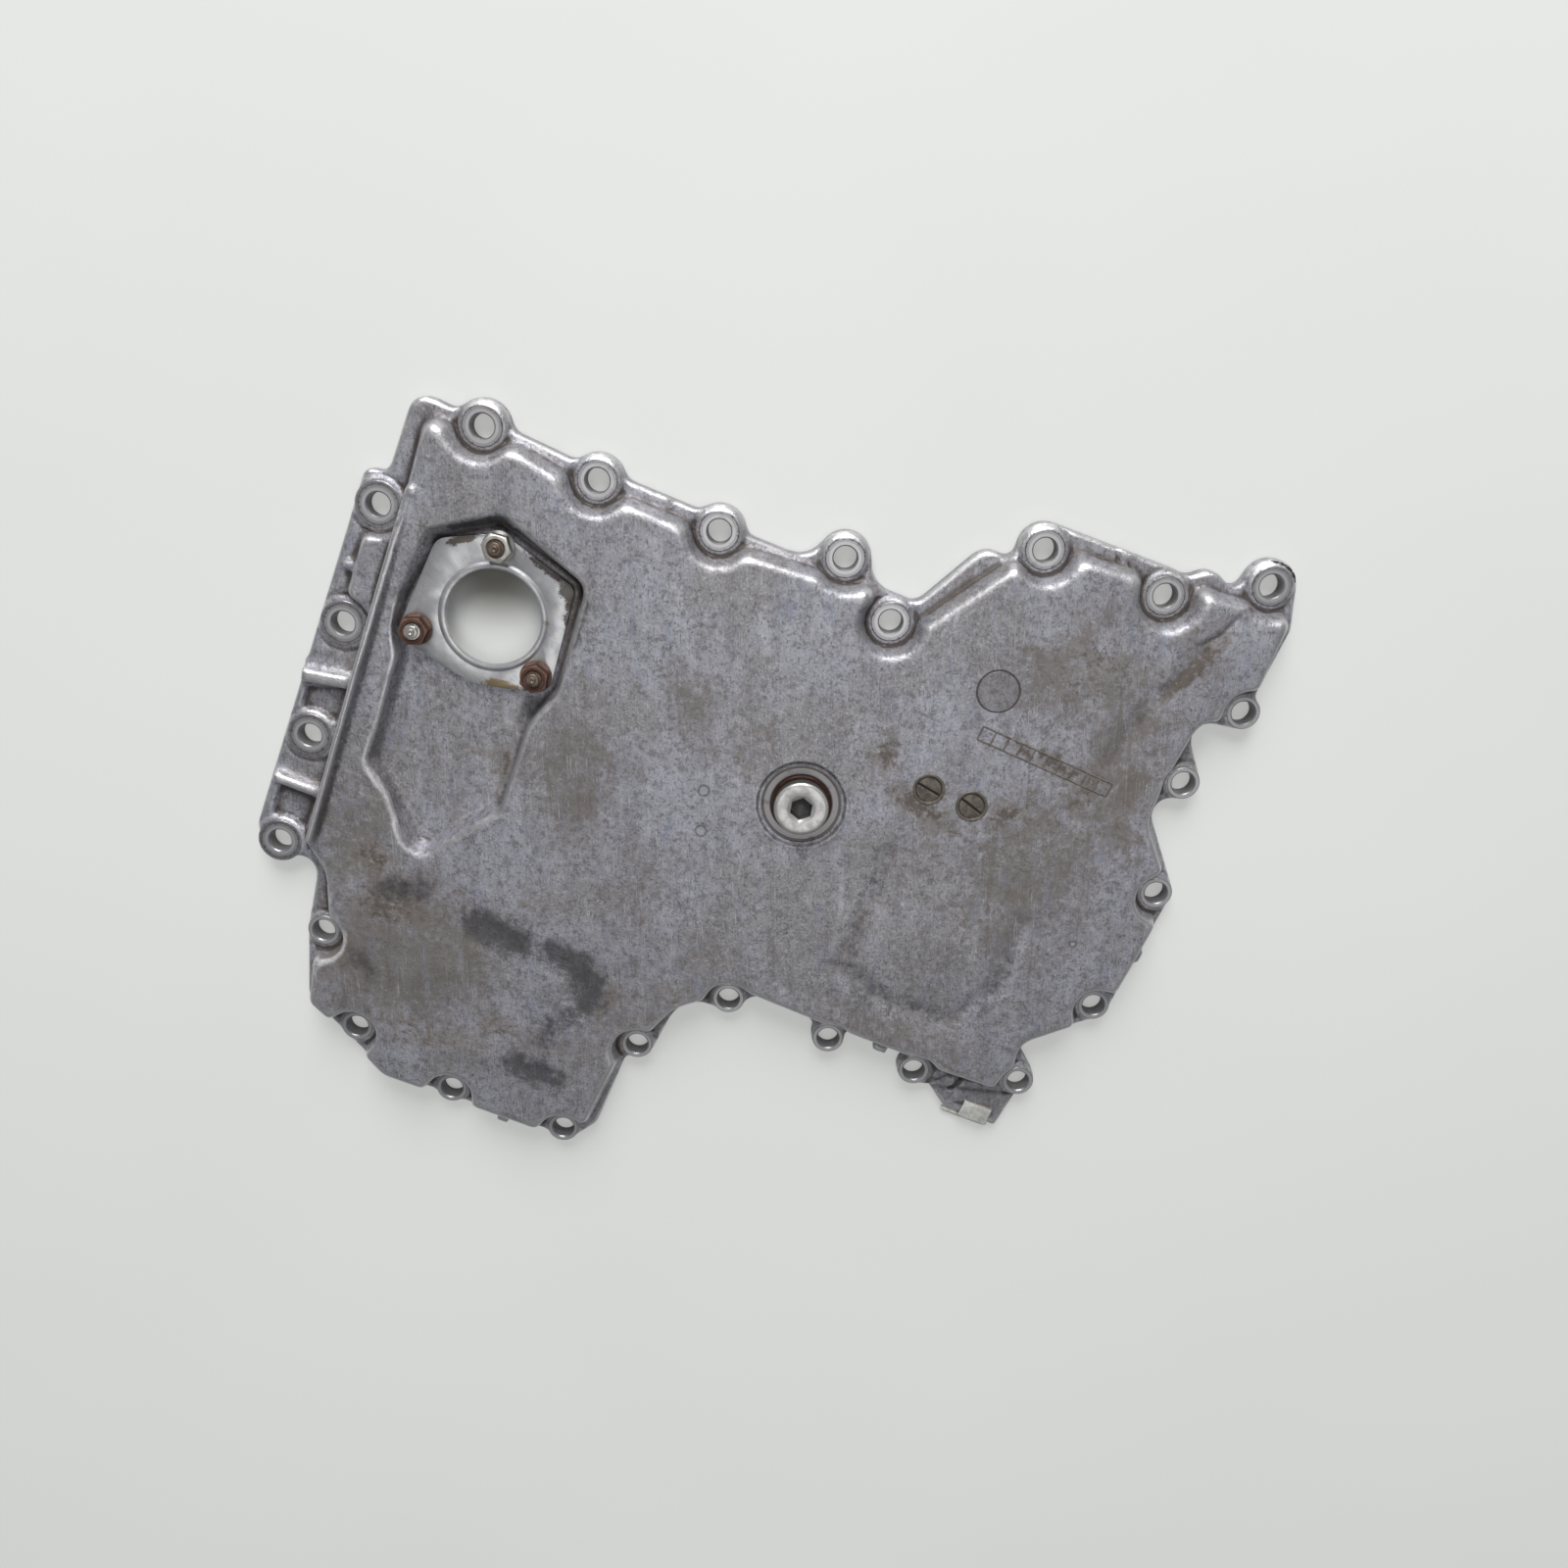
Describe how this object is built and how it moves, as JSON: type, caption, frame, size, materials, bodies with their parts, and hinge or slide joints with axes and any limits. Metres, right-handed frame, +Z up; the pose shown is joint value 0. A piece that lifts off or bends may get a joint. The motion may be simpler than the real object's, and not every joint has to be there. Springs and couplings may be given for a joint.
{
  "type": "oil pan",
  "caption": "Low die-cast oil pan with a scalloped bolted rim, a sensor plate in a recessed pocket and a drain plug.",
  "frame": {"origin": "centre of the bounding box on the gasket face", "axes": "+Z up out of the pan's outer face, +X along the longer side from the engine mount strip to the opposite edge"},
  "size_m": [0.3572, 0.3444, 0.021],
  "materials": {
    "cast_aluminium": "as cast, dirty",
    "plate_steel": "plated, stained",
    "seal_rubber": "matt",
    "stud_steel": "worn, rusty",
    "zinc_steel": "zinc plated",
    "rusty_steel": "rusty",
    "plug_steel": "worn plating",
    "washer_copper": "tarnished copper",
    "spring_steel": "satin"
  },
  "bodies": {
    "root": {"pan_casting": "cast_aluminium", "sensor_flange_plate": "plate_steel", "flange_seal": "seal_rubber", "stud_1": "stud_steel", "stud_2": "stud_steel", "stud_3": "stud_steel", "flange_nut_1": "zinc_steel", "flange_nut_2": "rusty_steel", "flange_nut_3": "rusty_steel", "drain_plug": "plug_steel", "drain_plug_washer": "washer_copper", "spring_clip": "spring_steel"}
  },
  "joints": []
}
